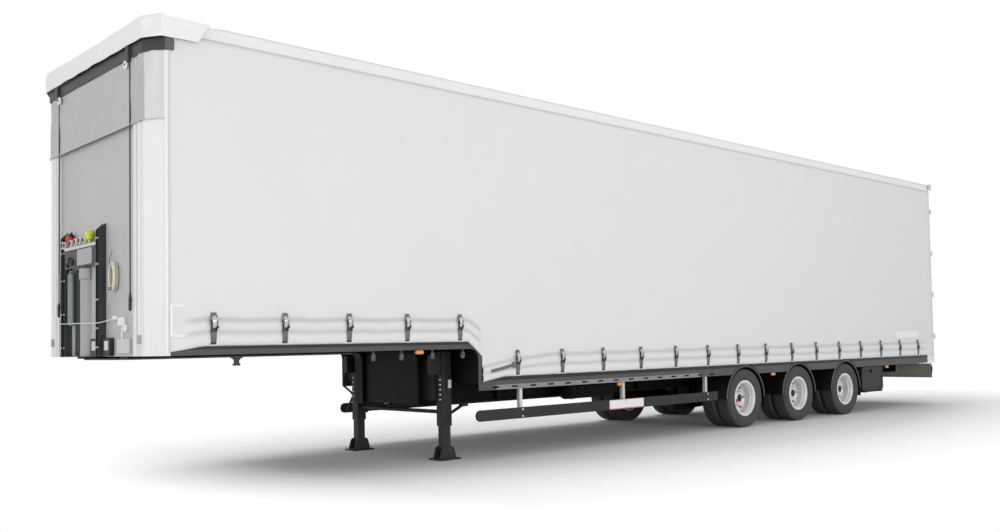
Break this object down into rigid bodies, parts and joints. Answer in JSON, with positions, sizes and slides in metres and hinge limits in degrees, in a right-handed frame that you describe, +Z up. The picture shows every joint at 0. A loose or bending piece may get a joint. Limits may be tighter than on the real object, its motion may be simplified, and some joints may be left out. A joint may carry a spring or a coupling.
{
  "type": "semi trailer",
  "caption": "Step-frame curtain-side semi trailer with twin-tyre axles, landing legs, lifting-roof front and hinged rear doors; tows from a kingpin and carries pallets.",
  "frame": {"origin": "on the ground under the middle of the bounding box", "axes": "+X forward (towards the kingpin), +Y left, +Z up"},
  "size_m": [13.62, 2.55, 3.795],
  "materials": {
    "frame_black": "satin chassis black",
    "bare_steel": "worn bare steel",
    "rail_grey": "satin dark grey",
    "header_grey": "satin dark grey",
    "deck_ply": "brown phenolic-faced board",
    "wall_grey": "satin grey",
    "alu_white": "white anodised",
    "door_white": "smooth white",
    "galvanised": "zinc-coated",
    "curtain_cloth": "coated cloth",
    "flap_cloth": "coated cloth",
    "roof_cloth": "coated cloth",
    "buckle_steel": "zinc-coated buckles",
    "cable_black": "sheathed cable",
    "air_rubber": "moulded",
    "guard_plastic": "moulded black",
    "plank_grey": "satin dark grey",
    "lamp_red": "lens",
    "lamp_amber": "lens",
    "socket_white": "moulded",
    "coupling_red": "moulded",
    "coupling_yellow": "moulded",
    "duct_grey": "moulded grey",
    "can_green": "satin grey-green",
    "cord_cream": "sheathed wire rope",
    "rim_silver": "silver",
    "tyre_rubber": "moulded"
  },
  "bodies": {
    "trailer": {"air_bags": "air_rubber", "air_coupling_red": "coupling_red", "air_coupling_yellow": "coupling_yellow", "air_tanks": "frame_black", "axle_beams": "frame_black", "cable_duct": "duct_grey", "canister": "can_green", "cantrails": "alu_white", "connector_stand": "frame_black", "coupler_plate": "bare_steel", "couplings": "socket_white", "crank_handle": "frame_black", "cross_members": "frame_black", "curtain_buckles": "buckle_steel", "curtain_left": "curtain_cloth", "curtain_right": "curtain_cloth", "deck": "deck_ply", "dock_buffers": "air_rubber", "front_flap": "flap_cloth", "front_header": "header_grey", "front_posts": "alu_white", "front_wall": "wall_grey", "guard_posts": "galvanised", "kingpin": "bare_steel", "landing_brace": "frame_black", "landing_legs": "frame_black", "lift_cables": "cable_black", "main_beams": "frame_black", "marker_lamps": "lamp_amber", "mudguards": "guard_plastic", "outer_rails": "rail_grey", "rear_bumper": "galvanised", "rear_frame": "alu_white", "rear_lamps": "lamp_red", "roof_bows": "alu_white", "roof_cap": "roof_cloth", "roof_tarp": "roof_cloth", "rope_coil": "cord_cream", "side_guards": "plank_grey", "side_posts": "alu_white", "suspension_arms": "frame_black", "toolbox": "guard_plastic"},
    "wheel_set_left_1": {"wheel_left_1": "rim_silver", "tyre_left_1": "tyre_rubber"},
    "wheel_set_right_1": {"wheel_right_1": "rim_silver", "tyre_right_1": "tyre_rubber"},
    "wheel_set_left_2": {"wheel_left_2": "rim_silver", "tyre_left_2": "tyre_rubber"},
    "wheel_set_right_2": {"wheel_right_2": "rim_silver", "tyre_right_2": "tyre_rubber"},
    "wheel_set_left_3": {"wheel_left_3": "rim_silver", "tyre_left_3": "tyre_rubber"},
    "wheel_set_right_3": {"wheel_right_3": "rim_silver", "tyre_right_3": "tyre_rubber"},
    "rear_door_left": {"door_left": "door_white", "lock_bars_left": "galvanised"},
    "rear_door_right": {"door_right": "door_white", "lock_bars_right": "galvanised"},
    "box_lid": {"toolbox_lid": "guard_plastic"}
  },
  "joints": [
    {"name": "spin_left_1", "type": "hinge", "parent": "trailer", "child": "wheel_set_left_1", "pos_m": [-1.07, 1.01, 0.3835], "axis": [0, 1, 0], "continuous": true},
    {"name": "spin_right_1", "type": "hinge", "parent": "trailer", "child": "wheel_set_right_1", "pos_m": [-1.07, -1.01, 0.3835], "axis": [0, 1, 0], "continuous": true},
    {"name": "spin_left_2", "type": "hinge", "parent": "trailer", "child": "wheel_set_left_2", "pos_m": [-2.38, 1.01, 0.3835], "axis": [0, 1, 0], "continuous": true},
    {"name": "spin_right_2", "type": "hinge", "parent": "trailer", "child": "wheel_set_right_2", "pos_m": [-2.38, -1.01, 0.3835], "axis": [0, 1, 0], "continuous": true},
    {"name": "spin_left_3", "type": "hinge", "parent": "trailer", "child": "wheel_set_left_3", "pos_m": [-3.69, 1.01, 0.3835], "axis": [0, 1, 0], "continuous": true},
    {"name": "spin_right_3", "type": "hinge", "parent": "trailer", "child": "wheel_set_right_3", "pos_m": [-3.69, -1.01, 0.3835], "axis": [0, 1, 0], "continuous": true},
    {"name": "rear_door_left_hinge", "type": "hinge", "parent": "trailer", "child": "rear_door_left", "pos_m": [-6.758, 1.246, 2.2], "axis": [0, 0, -1], "range_deg": [0, 260]},
    {"name": "rear_door_right_hinge", "type": "hinge", "parent": "trailer", "child": "rear_door_right", "pos_m": [-6.758, -1.246, 2.2], "axis": [0, 0, 1], "range_deg": [0, 260]},
    {"name": "box_lid_hinge", "type": "hinge", "parent": "trailer", "child": "box_lid", "pos_m": [-4.5155, 1.248, 0.312], "axis": [-1, 0, 0], "range_deg": [0, 95]}
  ]
}
